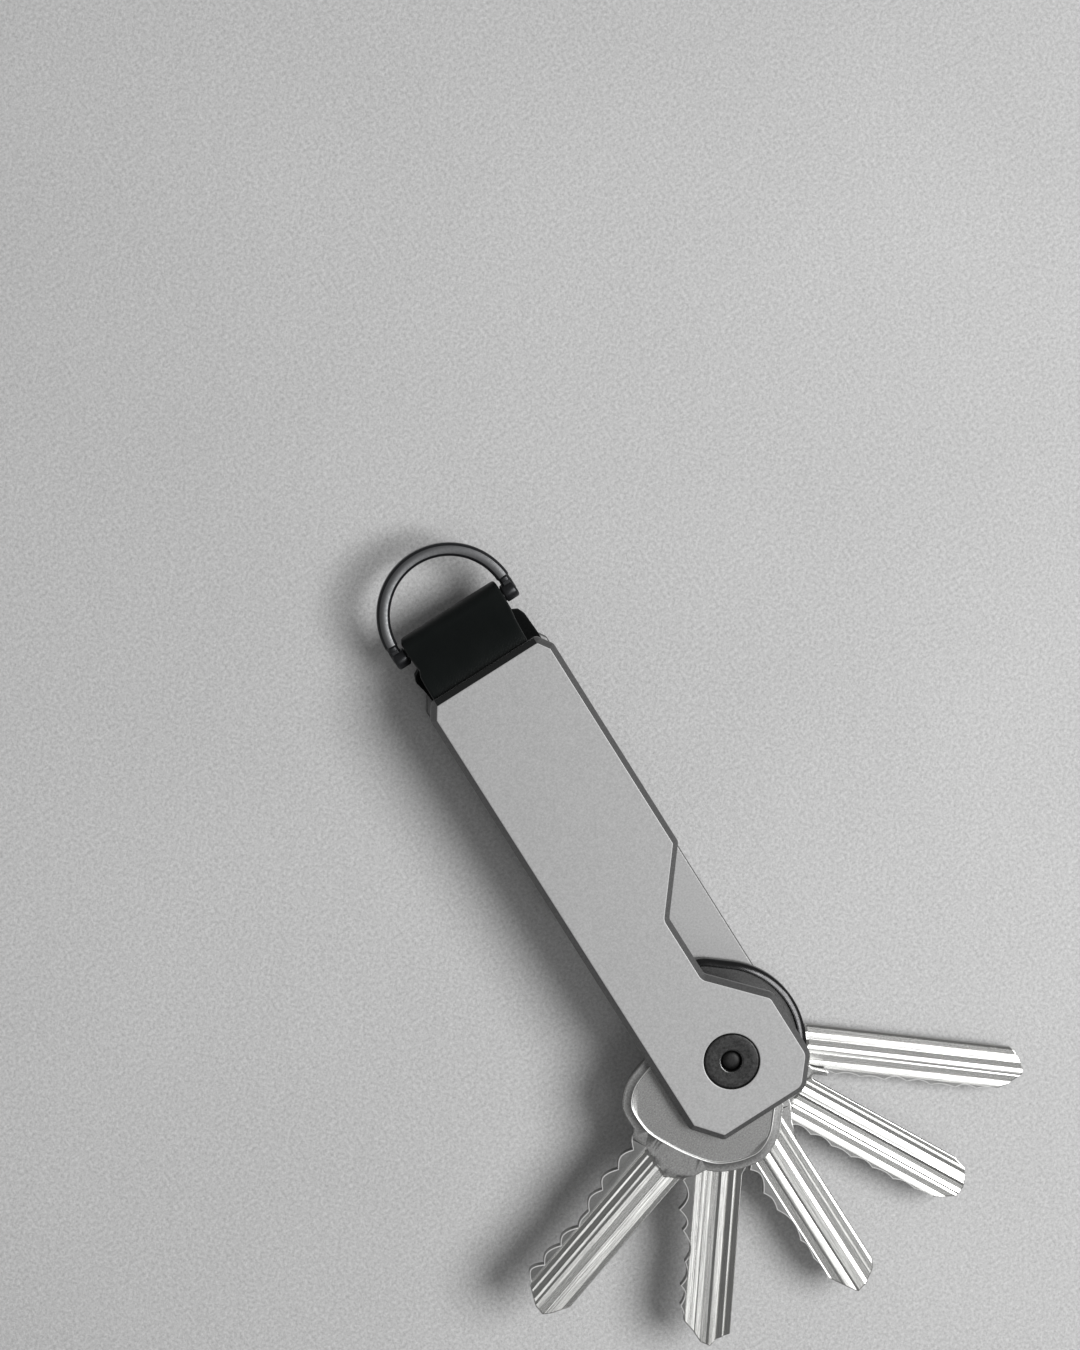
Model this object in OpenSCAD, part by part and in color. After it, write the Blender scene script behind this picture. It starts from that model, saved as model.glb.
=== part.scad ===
// Pocket key organiser: five flat keys fan out on one post between two bevelled plates.
// A leather loop at the other end carries a small shackle.
// Millimetres. The rear plate's outer face is z = 0, +Y runs to the shackle, +Z out of the front.

/* [Body] */
// width of the two plates
body_w = 22; // [20:0.5:26]
// length of the two plates
body_l = 81.3; // [76:0.1:95]
// thickness of each plate
plate_t = 2; // [1.6:0.1:2.6]
// width of the bevel round each plate's outer face
edge_bevel = 0.9; // [0.3:0.1:1.1]
// cut across the two corners at the strap end, sideways and lengthways
strap_corner = [1.6, 2.4]; // [1:0.1:4]
// cut across the two corners at the pivot end, sideways and lengthways
tail_corner = [3.6, 4.4]; // [2:0.1:5]
// distance from the pivot to the plates' tail edge
tail_reach = 10; // [9:0.5:12]

/* [Thumb notch] */
// heights above the pivot where the notch begins, bottoms out and ends
notch_y = [5.4, 13.6, 23.8, 33.1]; // [4:0.1:40]
// depth of the notch into the plate's side
notch_depth = 7.4; // [3:0.1:8]

/* [Pivot] */
// radius of the post's front disc and of the screw's head
disc_r = 4.25; // [3.8:0.05:5]
// thickness of the disc and of the screw's head
disc_t = 1; // [0.8:0.05:1.1]
// radius of the post that the keys turn on
post_r = 2.4; // [2:0.05:2.8]
// radius of the screw's thread
thread_r = 1.5; // [1.2:0.05:1.6]
// across-flats size of the socket in the screw's head
socket_af = 2.5; // [1.5:0.1:2.6]
// radial clearance of everything that turns
turn_gap = 0.05; // [0.02:0.01:0.1]

/* [Layers between the plates] */
// thickness of a key
key_t = 1.9; // [1.6:0.05:2.1]
// thickness of the washer between two keys
key_washer_t = 0.3; // [0.2:0.05:0.5]
// thickness of the washer against each plate
end_washer_t = 0.4; // [0.3:0.05:0.6]
// height of the disc spring
spring_h = 0.6; // [0.5:0.05:0.9]
// clearance on each side of a key
layer_gap = 0.05; // [0.02:0.01:0.1]
// radius of the washers
washer_r = 4; // [3.4:0.1:4.4]

/* [Strap and shackle] */
// thickness of the leather
leather_t = 1.5; // [1.2:0.1:2]
// width of the leather
strap_w = 16.8; // [12:0.1:17]
// distance from the plates' edge to the pin
pin_reach = 7.3; // [6:0.1:10]
// radius of the pin
pin_r = 1.1; // [0.8:0.05:1.4]
// outer radius of the shackle's round end
shackle_r = 11; // [10.5:0.1:13]
// width of the shackle's bar, seen from the front
bar_w = 1.9; // [1.5:0.1:2.2]
// depth of the shackle's bar, front to back
bar_t = 2.4; // [2:0.1:3.2]
// distance from the pin to the centre of the round end
shackle_rise = 1.8; // [1:0.1:4]
// radius of the two eyes that hold the pin
eye_r = 1.75; // [1.6:0.05:2.2]
// length of the spacer between the strap's legs
spacer_l = 9; // [7:0.5:12]
// distance of each strap screw from the middle
screw_x = 5.5; // [4:0.1:6.5]

/* [Keys, from the front layer to the rear one] */
// fan angle of each key from the tail direction
key_fan = [-72.7, -36.2, 0.2, 28.4, 50.6]; // [-180:0.1:180]
// distance from the pivot to each tip
key_reach = [49, 46, 43.9, 44.3, 48.2]; // [42:0.1:54]
// width of each blade above its teeth
blade_w = [6.6, 7.4, 7.2, 7, 6.6]; // [6:0.1:8]
// sideways place of each blade's middle
blade_side = [3.3, 0.1, -1.6, -1, 1.5]; // [-2:0.1:3.5]
// depth of the grooves along the blades
flute_d = 0.5; // [0.2:0.05:0.6]
// depth of the recess inside each bow's rim
rim_d = 0.2; // [0.1:0.05:0.4]
// width of each bow's rim
rim_w = 1.4; // [0.8:0.1:2]

/* [Hidden] */
$fn = 64;

eps = 0.01;
keys = 5;
corner_steps = 6;
sharp_r = 1;                    // radius of the plates' ordinary corners
soft_r = 2.6;                   // radius of the tail corner under the notch
seat_gap = 0.1;                 // clearance of a still part in its seat

// layers, counted from the rear plate's outer face
layer_pitch = key_t + key_washer_t + 2 * layer_gap;
bay_t = 2 * end_washer_t + keys * layer_pitch - key_washer_t + spring_h;
front_z = plate_t + bay_t;
body_t = front_z + plate_t;
function key_z(i) = plate_t + end_washer_t + layer_gap + (keys - i) * layer_pitch;

half_w = body_w / 2;
half_l = body_l / 2;
pivot_y = tail_reach - half_l;
boss_r = washer_r + 0.6;        // flat round the pivot hole inside a bow's rim

// strap end
pin_y = half_l + pin_reach;
pin_z = body_t / 2;
loop_r = pin_r + turn_gap;
fold_r = loop_r + leather_t;
clamp_y = half_l - spacer_l;
spacer_w = strap_w;
screw_y = half_l - 6;
screw_r = 1.25;
screw_head_r = 2.4;
screw_head_t = 1.1;
tapped_depth = 1.3;             // the strap screws stop inside the front plate
bar_r = shackle_r - bar_w / 2;
bar_edge = 0.4;                 // bevel of the shackle's bar
eye_in = strap_w / 2 + 0.3;
eye_out = shackle_r - 0.1;

// key bows: back, front, low and high side, then the corner radii from front low round to back low
bow_box = [[-4, 17.2, -9.9, 14.4], [-2.8, 16.4, -10.4, 8.8], [-8.7, 9.9, -9.3, 9.3],
    [-9.2, 11.6, -10.4, 10.4], [-9.6, 13.4, -13.4, 13.4]];
bow_corner = [[3.2, 8, 8, 7], [9.4, 9.4, 9.4, 9.4], [9, 9, 9, 9], [10, 10, 10, 10], [13.3, 13.3, 6, 6]];
bow_slant = [3.3, 0, 0, 0, 0];  // how far the front edge leans back on its high side
// necks: three distances, then the low and the high side at the first two
neck_x = [[15, 17.5, 19.4], [13, 17, 18.6], [7.5, 12.8, 18], [10, 16.3, 16.5], [11, 14, 15.2]];
neck_low = [[-8.5, -4.9], [-6, -5.4], [-6, -6.4], [-5.6, -5.4], [-4, -2.8]];
neck_high = [[9, 8], [5.6, 4.6], [5.4, 4.2], [4.4, 4.7], [6.4, 5.2]];
// bitting: first cut, then how deep the tooth line lies below the blade at each cut, in cut_pitch steps
cut_pitch = 3.8;
cut_flat = 1.3;
cut_slope = 0.8;
first_cut = [24.3, 22.5, 20, 20.5, 19.5];
cuts = [[1.8, 1.6, 1, 0.6, 0.9, 0.9], [1, 0.7, 0.1, 0.1, 0.3, 0], [0.5, 0.9, 0.3, 0.1, 0.3, 0.2],
    [0.2, 0.6, 0.1, 0.4, 0.1, 0.1], [0.4, 0.5, 0.1, 0.2, 0.5, 0.1, 0.1]];
tooth_max = [2.8, 2, 1.5, 0.9, 0.9];
tip_run = 3.8;                  // length of the slope from the tooth line to the tip
// grooves on the front of each blade: distance above the blade's low edge and width
flute_from = [19.5, 18, 13, 14.4, 13.6];
flutes = [[[0.3, 1], [1.35, 0.9], [3.8, 1.3], [6.35, 0.6]], [[3.5, 1.2], [5.6, 0.8], [6.7, 0.8]],
    [[0.7, 1], [3.2, 1.4], [5.1, 0.8], [6.2, 0.6]], [[1.1, 0.9], [3.4, 1], [5.5, 0.6], [6.8, 0.6]],
    [[1.2, 0.8], [3.4, 0.7], [5.2, 0.6], [6.4, 0.6]]];
back_flutes = [[2.2, 1.4], [4.8, 1]];

// ---- rounded outlines ----
function unit(v) = v / norm(v);
// points on the arc of radius r that rounds the corner b between a and c
function round_corner(a, b, c, r) =
    let (u = unit(a - b), v = unit(c - b), half = acos(u * v) / 2,
        centre = b + unit(u + v) * r / sin(half),
        from = b + u * r / tan(half) - centre, to = b + v * r / tan(half) - centre,
        start = atan2(from.y, from.x), turn = atan2(to.y, to.x) - start,
        sweep = turn > 180 ? turn - 360 : turn < -180 ? turn + 360 : turn)
    [for (k = [0:corner_steps]) centre + r * [cos(start + sweep * k / corner_steps),
        sin(start + sweep * k / corner_steps)]];
function rounded(pts, radii) = let (n = len(pts)) [for (i = [0:n - 1])
    each round_corner(pts[(i + n - 1) % n], pts[i], pts[(i + 1) % n], radii[i])];
// the corners of a counter-clockwise outline moved inwards by d, and their radii
function side_normal(a, b) = let (e = unit(b - a)) [-e.y, e.x];
function inset(pts, d) = let (n = len(pts)) [for (i = [0:n - 1])
    let (p = side_normal(pts[(i + n - 1) % n], pts[i]), q = side_normal(pts[i], pts[(i + 1) % n]))
    pts[i] + (p + q) * d / (1 + p * q)];
function cross_at(pts, i) = let (n = len(pts), a = pts[i] - pts[(i + n - 1) % n],
    b = pts[(i + 1) % n] - pts[i]) a.x * b.y - a.y * b.x;
function inset_radii(pts, radii, d) = [for (i = [0:len(pts) - 1])
    cross_at(pts, i) > 0 ? max(radii[i] - d, 0.15) : radii[i] + d];

plate_pts = [
    [-half_w, pivot_y - tail_reach + tail_corner.y], [-half_w + tail_corner.x, -half_l],
    [half_w - tail_corner.x, -half_l], [half_w, pivot_y - tail_reach + tail_corner.y],
    [half_w, pivot_y + notch_y[0]], [half_w - notch_depth, pivot_y + notch_y[1]],
    [half_w - notch_depth, pivot_y + notch_y[2]], [half_w, pivot_y + notch_y[3]],
    [half_w, half_l - strap_corner.y], [half_w - strap_corner.x, half_l],
    [-half_w + strap_corner.x, half_l], [-half_w, half_l - strap_corner.y]
];
plate_radii = [sharp_r, sharp_r, soft_r, soft_r, 2 * sharp_r, sharp_r, sharp_r, sharp_r,
    sharp_r, sharp_r, sharp_r, sharp_r];

// faces over the outline, split at the notch's two inner corners so that each face is convex
function cap_faces() = let (per = corner_steps + 1, low = 5 * per, high = 6 * per, end = 12 * per - 1)
    concat([[for (k = [0:low]) k]], [for (k = [low:low + corner_steps - 1]) [0, k, k + 1]],
        [[0, low + corner_steps, high, end]], [for (k = [high:high + corner_steps - 1]) [end, k, k + 1]],
        [[for (k = [high + corner_steps:end]) k]]);
function flipped(face, shift) = [for (k = [len(face) - 1:-1:0]) face[k] + shift];

// one plate: straight sides up to the bevel, then the bevel to the outer face
module bevelled_plate() {
    outer = rounded(plate_pts, plate_radii);
    inner = rounded(inset(plate_pts, edge_bevel), inset_radii(plate_pts, plate_radii, edge_bevel));
    n = len(outer);
    rings = concat([for (p = outer) [p.x, p.y, 0]], [for (p = outer) [p.x, p.y, plate_t - edge_bevel]],
        [for (p = inner) [p.x, p.y, plate_t]]);
    faces = concat(cap_faces(), [for (face = cap_faces()) flipped(face, 2 * n)],
        [for (r = [0, 1], k = [0:n - 1]) [r * n + k, (r + 1) * n + k,
            (r + 1) * n + (k + 1) % n, r * n + (k + 1) % n]]);
    polyhedron(rings, faces);
}

module at_pivot(z = 0) {
    translate([0, pivot_y, z]) children();
}

module at_strap_screws() {
    for (side = [-1, 1]) translate([side * screw_x, screw_y, 0]) children();
}

module front_plate() {
    color([0.64, 0.64, 0.64]) difference() {
        translate([0, 0, front_z]) bevelled_plate();
        at_pivot(front_z - eps) cylinder(h = plate_t + 2 * eps, r = post_r + turn_gap);
        at_pivot(body_t - disc_t - seat_gap) cylinder(h = plate_t, r = disc_r + seat_gap);
        at_strap_screws() translate([0, 0, front_z - eps])
            cylinder(h = tapped_depth, r = screw_r + seat_gap);
    }
}

module rear_plate() {
    color([0.64, 0.64, 0.64]) difference() {
        translate([0, 0, plate_t]) rotate([0, 180, 0]) bevelled_plate();
        at_pivot(-eps) cylinder(h = plate_t + 2 * eps, r = post_r + turn_gap);
        at_pivot(-eps) cylinder(h = disc_t + seat_gap + eps, r = disc_r + seat_gap);
        at_strap_screws() {
            translate([0, 0, -eps]) cylinder(h = plate_t + 2 * eps, r = screw_r + seat_gap);
            translate([0, 0, -eps]) cylinder(h = screw_head_t + seat_gap,
                r1 = screw_head_r + 3 * seat_gap, r2 = screw_r + seat_gap);
        }
    }
}

module end_spacer() {
    color([0.2, 0.2, 0.2]) difference() {
        translate([-spacer_w / 2, clamp_y, plate_t + leather_t + layer_gap])
            cube([spacer_w, spacer_l - sharp_r, bay_t - 2 * leather_t - 2 * layer_gap]);
        at_strap_screws() translate([0, 0, plate_t]) cylinder(h = bay_t, r = screw_r + seat_gap);
    }
}

// angle of the point where a straight leg from (y, z) meets a circle of radius r round the pin
function tangent_angle(y, z, r) = atan2(z - pin_z, y - pin_y) - acos(r / norm([y - pin_y, z - pin_z]));
function on_loop(r, a) = [pin_y + r * cos(a), pin_z + r * sin(a)];
// the area between the pin and the two legs that leave the circle of radius r for height z
module leg_wedge(r, y, z) {
    a = tangent_angle(y, z, r);
    polygon([[y, z], [y, body_t - z], on_loop(r, -a), [pin_y, pin_z], on_loop(r, a)]);
}

module strap() {
    leg_z = front_z - layer_gap;
    leg_inner_z = front_z - leather_t;
    color([0.05, 0.06, 0.055]) difference() {
        translate([-strap_w / 2, 0, 0]) rotate([90, 0, 90]) linear_extrude(strap_w) difference() {
            union() {
                translate([clamp_y, body_t - leg_z]) square([spacer_l, 2 * leg_z - body_t]);
                leg_wedge(fold_r, half_l, leg_z);
                translate([pin_y, pin_z]) circle(fold_r);
            }
            translate([clamp_y - eps, body_t - leg_inner_z]) square([spacer_l + 2 * eps,
                2 * leg_inner_z - body_t]);
            leg_wedge(loop_r, half_l, leg_inner_z);
            translate([pin_y, pin_z]) circle(loop_r);
        }
        at_strap_screws() translate([0, 0, plate_t]) cylinder(h = bay_t, r = screw_r + seat_gap);
    }
}

module strap_screws() {
    color([0.3, 0.3, 0.3]) at_strap_screws() difference() {
        rotate_extrude() polygon([[0, 0.05], [screw_head_r - 0.1, 0.05], [screw_head_r, 0.15],
            [screw_r, screw_head_t], [screw_r, front_z + tapped_depth - 0.4],
            [screw_r - 0.3, front_z + tapped_depth - 0.1], [0, front_z + tapped_depth - 0.1]]);
        translate([0, 0, -eps]) cylinder(h = 0.9, d = 1.5 / cos(30), $fn = 6);
    }
}

module bar_section() {
    w = bar_w / 2;
    t = bar_t / 2;
    translate([bar_r, 0]) polygon([[-w, -t + bar_edge], [-w + bar_edge, -t], [w - bar_edge, -t],
        [w, -t + bar_edge], [w, t - bar_edge], [w - bar_edge, t], [-w + bar_edge, t], [-w, t - bar_edge]]);
}

module shackle_bow() {
    color([0.28, 0.29, 0.29]) difference() {
        union() {
            translate([0, pin_y + shackle_rise, pin_z]) {
                rotate_extrude(angle = 180) bar_section();
                for (side = [0, 1]) mirror([side, 0, 0]) rotate([90, 0, 0])
                    linear_extrude(shackle_rise) bar_section();
            }
            for (side = [-1, 1]) translate([side * (eye_in + eye_out) / 2, pin_y, pin_z])
                rotate([0, 90, 0]) cylinder(h = eye_out - eye_in, r = eye_r, center = true);
        }
        translate([-2 * eye_out, pin_y, pin_z]) rotate([0, 90, 0])
            cylinder(h = 4 * eye_out, r = pin_r + layer_gap / 2);
    }
}

module shackle_pin() {
    head = 0.25;
    color([0.3, 0.3, 0.3]) translate([0, pin_y, pin_z]) rotate([0, 90, 0]) rotate_extrude()
        polygon([[0, -eye_out], [pin_r - head, -eye_out], [pin_r, head - eye_out],
            [pin_r, eye_out - head], [pin_r - head, eye_out], [0, eye_out]]);
}

module pivot_barrel() {
    rim = 0.2;
    top = body_t - seat_gap;
    color([0.1, 0.1, 0.1]) at_pivot() rotate_extrude() polygon([
        [thread_r + turn_gap, disc_t + 3 * seat_gap], [post_r, disc_t + 3 * seat_gap],
        [post_r, top - disc_t + eps], [disc_r, top - disc_t + eps], [disc_r, top - rim],
        [disc_r - rim, top], [thread_r + turn_gap + rim, top], [thread_r + turn_gap, top - rim]]);
}

module pivot_screw() {
    dome = 0.5;
    top = body_t - 0.6;
    color([0.12, 0.12, 0.12]) at_pivot() difference() {
        rotate_extrude() polygon(concat(
            [[0, layer_gap], [disc_r - 0.2, layer_gap], [disc_r, layer_gap + 0.2], [disc_r, disc_t],
                [thread_r, disc_t]],
            [for (k = [0:4]) [thread_r * cos(k * 22.5), top - dome + dome * sin(k * 22.5)]]));
        translate([0, 0, -eps]) cylinder(h = 1.6, d = socket_af / cos(30), $fn = 6);
    }
}

module disc_spring() {
    skin = 0.25;
    low = front_z - spring_h;
    color([0.5, 0.5, 0.5]) at_pivot() rotate_extrude() polygon([[post_r + seat_gap, low + layer_gap],
        [washer_r, front_z - skin - layer_gap], [washer_r, front_z - layer_gap],
        [post_r + seat_gap, low + skin + layer_gap]]);
}

module washer(z, t) {
    at_pivot(z) difference() {
        cylinder(h = t, r = washer_r);
        translate([0, 0, -eps]) cylinder(h = t + 2 * eps, r = post_r + seat_gap);
    }
}

module front_washer() {
    color([0.85, 0.85, 0.8]) washer(front_z - spring_h - end_washer_t, end_washer_t);
}

module rear_washer() {
    color([0.85, 0.85, 0.8]) washer(plate_t, end_washer_t);
}

// the washer behind key i
module key_washer(i) {
    color([0.85, 0.85, 0.8]) washer(key_z(i) - layer_gap - key_washer_t, key_washer_t);
}

module key_washer_1() key_washer(1);
module key_washer_2() key_washer(2);
module key_washer_3() key_washer(3);
module key_washer_4() key_washer(4);

// a bow's outline: four corners, rounded, drawn d inside its edge
function bow_outline(i, d) = let (b = bow_box[i - 1], pts = [[b[1], b[2]],
        [b[1] - bow_slant[i - 1], b[3]], [b[0], b[3]], [b[0], b[2]]])
    rounded(inset(pts, d), inset_radii(pts, bow_corner[i - 1], d));

// tooth line: each cut's flat, then the peak where the slopes of two cuts meet
function tooth_line(i, low) = let (c = cuts[i - 1], x0 = first_cut[i - 1]) [for (k = [0:len(c) - 1])
    let (x = x0 + k * cut_pitch, y = low - c[k], last = k == len(c) - 1, y2 = last ? y : low - c[k + 1],
        peak_x = x + cut_pitch / 2 + (y - y2) / (2 * cut_slope),
        peak_y = max(y - cut_slope * (peak_x - x - cut_flat / 2), low - tooth_max[i - 1]))
    each concat([[x - cut_flat / 2, y], [x + cut_flat / 2, y]], last ? [] : [[peak_x, peak_y]])];

module blade_outline(i) {
    w = blade_w[i - 1];
    low = blade_side[i - 1] - w / 2;
    tip = key_reach[i - 1];
    start = neck_x[i - 1][0];
    shoulder = first_cut[i - 1] - cut_pitch / 2;
    polygon(concat([[start, low], [shoulder - 1, low - cuts[i - 1][0]], [shoulder, low - tooth_max[i - 1]]],
        tooth_line(i, low),
        [[tip - tip_run, low], [tip - tip_run / 5, low + 0.36 * w], [tip, low + 0.56 * w],
            [tip - tip_run / 8, low + 0.7 * w], [tip - tip_run / 2, low + w], [start, low + w]]));
}

module neck_outline(i) {
    x = neck_x[i - 1];
    a = neck_low[i - 1];
    b = neck_high[i - 1];
    low = blade_side[i - 1] - blade_w[i - 1] / 2;
    polygon([[0, a[0]], [x[0], a[0]], [x[1], a[1]], [x[2], low], [x[2], low + blade_w[i - 1]],
        [x[1], b[1]], [x[0], b[0]], [0, b[0]]]);
}

// a groove with sloping walls, cut downwards from z = 0 along +X
module flute(length, w) {
    rotate([90, 0, 90]) linear_extrude(length) polygon([[-w / 2 - eps, eps], [-w / 4, -flute_d],
        [w / 4, -flute_d], [w / 2 + eps, eps]]);
}

module key(i) {
    low = blade_side[i - 1] - blade_w[i - 1] / 2;
    run = key_reach[i - 1];
    at_pivot(key_z(i)) rotate([0, 0, key_fan[i - 1] - 90]) difference() {
        linear_extrude(key_t) {
            polygon(bow_outline(i, 0));
            neck_outline(i);
            blade_outline(i);
        }
        translate([0, 0, -eps]) cylinder(h = key_t + 2 * eps, r = post_r + turn_gap);
        for (z = [-eps, key_t - rim_d]) translate([0, 0, z]) linear_extrude(rim_d + eps) difference() {
            polygon(bow_outline(i, rim_w));
            circle(boss_r);
        }
        for (f = flutes[i - 1]) translate([flute_from[i - 1], low + f[0], key_t]) flute(run, f[1]);
        for (f = back_flutes) translate([flute_from[i - 1], low + f[0], 0]) mirror([0, 0, 1])
            flute(run, f[1]);
    }
}

module key_1() color([0.72, 0.71, 0.68]) key(1);
module key_2() color([0.7, 0.69, 0.66]) key(2);
module key_3() color([0.74, 0.73, 0.7]) key(3);
module key_4() color([0.76, 0.75, 0.72]) key(4);
module key_5() color([0.74, 0.74, 0.72]) key(5);

front_plate();
rear_plate();
end_spacer();
strap();
strap_screws();
shackle_bow();
shackle_pin();
pivot_barrel();
pivot_screw();
disc_spring();
front_washer();
rear_washer();
key_washer_1();
key_washer_2();
key_washer_3();
key_washer_4();
key_1();
key_2();
key_3();
key_4();
key_5();
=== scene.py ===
"""Looks of the pocket key organiser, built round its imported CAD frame.

Shapes are drawn in millimetres in each piece's own frame and scaled to metres when the mesh is made.
+Y runs to the shackle, +X to the thumb notch, +Z out of the front plate.
"""
import math

import bmesh
import bpy
import numpy as np
from mathutils import Matrix, Vector
from mathutils.geometry import delaunay_2d_cdt


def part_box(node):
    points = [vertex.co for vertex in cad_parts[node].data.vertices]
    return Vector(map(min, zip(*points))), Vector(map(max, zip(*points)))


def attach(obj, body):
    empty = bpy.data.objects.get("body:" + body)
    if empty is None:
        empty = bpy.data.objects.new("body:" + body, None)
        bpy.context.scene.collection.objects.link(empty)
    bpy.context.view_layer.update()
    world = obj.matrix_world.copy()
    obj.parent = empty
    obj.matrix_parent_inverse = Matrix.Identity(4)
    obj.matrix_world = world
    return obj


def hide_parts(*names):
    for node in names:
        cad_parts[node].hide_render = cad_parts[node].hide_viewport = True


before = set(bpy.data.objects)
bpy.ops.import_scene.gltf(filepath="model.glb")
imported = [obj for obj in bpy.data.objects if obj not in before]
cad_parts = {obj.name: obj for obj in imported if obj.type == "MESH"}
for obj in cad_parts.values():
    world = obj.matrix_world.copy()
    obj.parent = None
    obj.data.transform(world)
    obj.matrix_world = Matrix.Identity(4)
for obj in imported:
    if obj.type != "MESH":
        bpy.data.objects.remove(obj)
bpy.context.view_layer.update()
MM = 0.001


def box_mm(node):
    """Lowest and highest corner of a CAD node in millimetres."""
    low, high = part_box(node)
    return low / MM, high / MM


# ---- places, all from the frame
FRONT_LOW, FRONT_HIGH = box_mm("front_plate")
REAR_LOW, REAR_HIGH = box_mm("rear_plate")
POST_LOW, POST_HIGH = box_mm("pivot_barrel")
PIN_LOW, PIN_HIGH = box_mm("shackle_pin")
STRAP_LOW, _ = box_mm("strap")
PIVOT = (POST_LOW + POST_HIGH) / 2
PIN = (PIN_LOW + PIN_HIGH) / 2
PLATE_T = FRONT_HIGH.z - FRONT_LOW.z
HALF_W = FRONT_HIGH.x
HALF_L = FRONT_HIGH.y


# ---- outlines
MIN_CORNER_R = 0.12


def rounded(points, radii, steps=8):
    """A closed outline with each corner turned into an arc of its own radius."""
    out, n = [], len(points)
    for k in range(n):
        a, b, c = (Vector(points[(k + step) % n]) for step in (-1, 0, 1))
        u, v = (a - b).normalized(), (c - b).normalized()
        half = math.acos(max(-1.0, min(1.0, u.dot(v)))) / 2
        reach = radii[k] / math.tan(half)
        centre = b + (u + v).normalized() * radii[k] / math.sin(half)
        start, end = b + u * reach - centre, b + v * reach - centre
        angle = math.atan2(start.y, start.x)
        turn = math.atan2(end.y, end.x) - angle
        turn -= 2 * math.pi * round(turn / (2 * math.pi))
        for s in range(steps + 1):
            at = angle + turn * s / steps
            out.append((centre.x + radii[k] * math.cos(at), centre.y + radii[k] * math.sin(at)))
    return out


def inset(points, radii, d):
    """The corners of a counter-clockwise outline moved inwards by d, with their radii."""
    n, moved, new_radii = len(points), [], []
    for k in range(n):
        a, b, c = (Vector(points[(k + step) % n]) for step in (-1, 0, 1))
        e, f = (b - a).normalized(), (c - b).normalized()
        p, q = Vector((-e.y, e.x)), Vector((-f.y, f.x))
        m = b + (p + q) * d / (1 + p.dot(q))
        moved.append((m.x, m.y))
        convex = e.x * f.y - e.y * f.x > 0
        new_radii.append(max(radii[k] - d, MIN_CORNER_R) if convex else radii[k] + d)
    return moved, new_radii


def spline(points, per=10):
    out, n = [], len(points)
    for k in range(n):
        a, b, c, d = (Vector(points[(k + step) % n]) for step in (-1, 0, 1, 2))
        for s in range(per):
            t = s / per
            square, cube = (a * 2 - b * 5 + c * 4 - d) * t ** 2, (b * 3 - a - c * 3 + d) * t ** 3
            q = (b * 2 + (c - a) * t + square + cube) / 2
            out.append((q.x, q.y))
    return out


def circle(radius, count=96, centre=(0, 0)):
    return [(centre[0] + radius * math.cos(2 * math.pi * k / count),
             centre[1] + radius * math.sin(2 * math.pi * k / count)) for k in range(count)]


def hexagon(across_flats, z):
    r = across_flats / math.sqrt(3)
    return [(r * math.cos(math.pi * k / 3), r * math.sin(math.pi * k / 3), z) for k in range(6)]


def soft_corner(r, low, high, steps=4):
    """(inset, height) pairs of a quarter round, from the side at low to the face at high."""
    return [(r * (1 - math.cos(math.pi / 2 * s / steps)),
             low + (high - low) * math.sin(math.pi / 2 * s / steps)) for s in range(steps + 1)]


# ---- meshes
def add_loop(bm, points):
    return [bm.verts.new(p) for p in points]


def bridge(bm, a, b, material=0):
    """A band of faces between two closed loops."""
    for k in range(len(a)):
        after = (k + 1) % len(a)
        bm.faces.new((a[k], a[after], b[after], b[k])).material_index = material


def cap(bm, loops, material=0):
    """A flat face bounded by one loop, with any further loops as its holes."""
    edges = []
    for loop in loops:
        for k, v in enumerate(loop):
            w = loop[(k + 1) % len(loop)]
            edges.append(bm.edges.get((v, w)) or bm.edges.new((v, w)))
    made = bmesh.ops.triangle_fill(bm, use_beauty=True, edges=edges)["geom"]
    for f in made:
        if isinstance(f, bmesh.types.BMFace):
            f.material_index = material


def add_to_scene(obj):
    bpy.context.scene.collection.objects.link(obj)


def piece(bm, node, body, materials, sharp=34, placed=Matrix.Identity(4)):
    """Makes a millimetre bmesh a smooth piece that rides on a CAD body in a node's place."""
    name = node + "_look"
    bmesh.ops.recalc_face_normals(bm, faces=bm.faces)
    for f in bm.faces:
        f.smooth = True
    for e in bm.edges:
        if len(e.link_faces) == 2:
            e.smooth = e.calc_face_angle(0) < math.radians(sharp)
    bmesh.ops.scale(bm, vec=(MM, MM, MM), verts=bm.verts)
    mesh = bpy.data.meshes.new(name)
    bm.to_mesh(mesh)
    bm.free()
    for m in materials:
        mesh.materials.append(m)
    obj = bpy.data.objects.new(name, mesh)
    add_to_scene(obj)
    obj.matrix_world = placed
    weighted = obj.modifiers.new("weighted", "WEIGHTED_NORMAL")
    weighted.keep_sharp = True
    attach(obj, body)
    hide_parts(node)
    return obj


def slab(node, corners, radii, levels, holes, materials, placed=Matrix.Identity(4)):
    """A flat part of the case. Levels are (inset, height, material above) from bottom to top. Each hole is
    a centre with a (radius, height, material below) list from top to bottom."""
    bm = bmesh.new()
    rings = []
    for d, z, _ in levels:
        at, r = inset(corners, radii, d)
        rings.append(add_loop(bm, [(x, y, z) for x, y in rounded(at, r)]))
    for k in range(len(rings) - 1):
        bridge(bm, rings[k], rings[k + 1], levels[k][2])
    tops, bottoms = [rings[-1]], [rings[0]]
    for centre, profile in holes:
        loops = [add_loop(bm, [(x, y, z) for x, y in circle(r, centre=centre)]) for r, z, _ in profile]
        for k in range(len(loops) - 1):
            bridge(bm, loops[k], loops[k + 1], profile[k][2])
        tops.append(loops[0])
        bottoms.append(loops[-1])
    cap(bm, tops, 0)
    cap(bm, bottoms, 0)
    return piece(bm, node, "case", materials, placed=placed)


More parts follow.
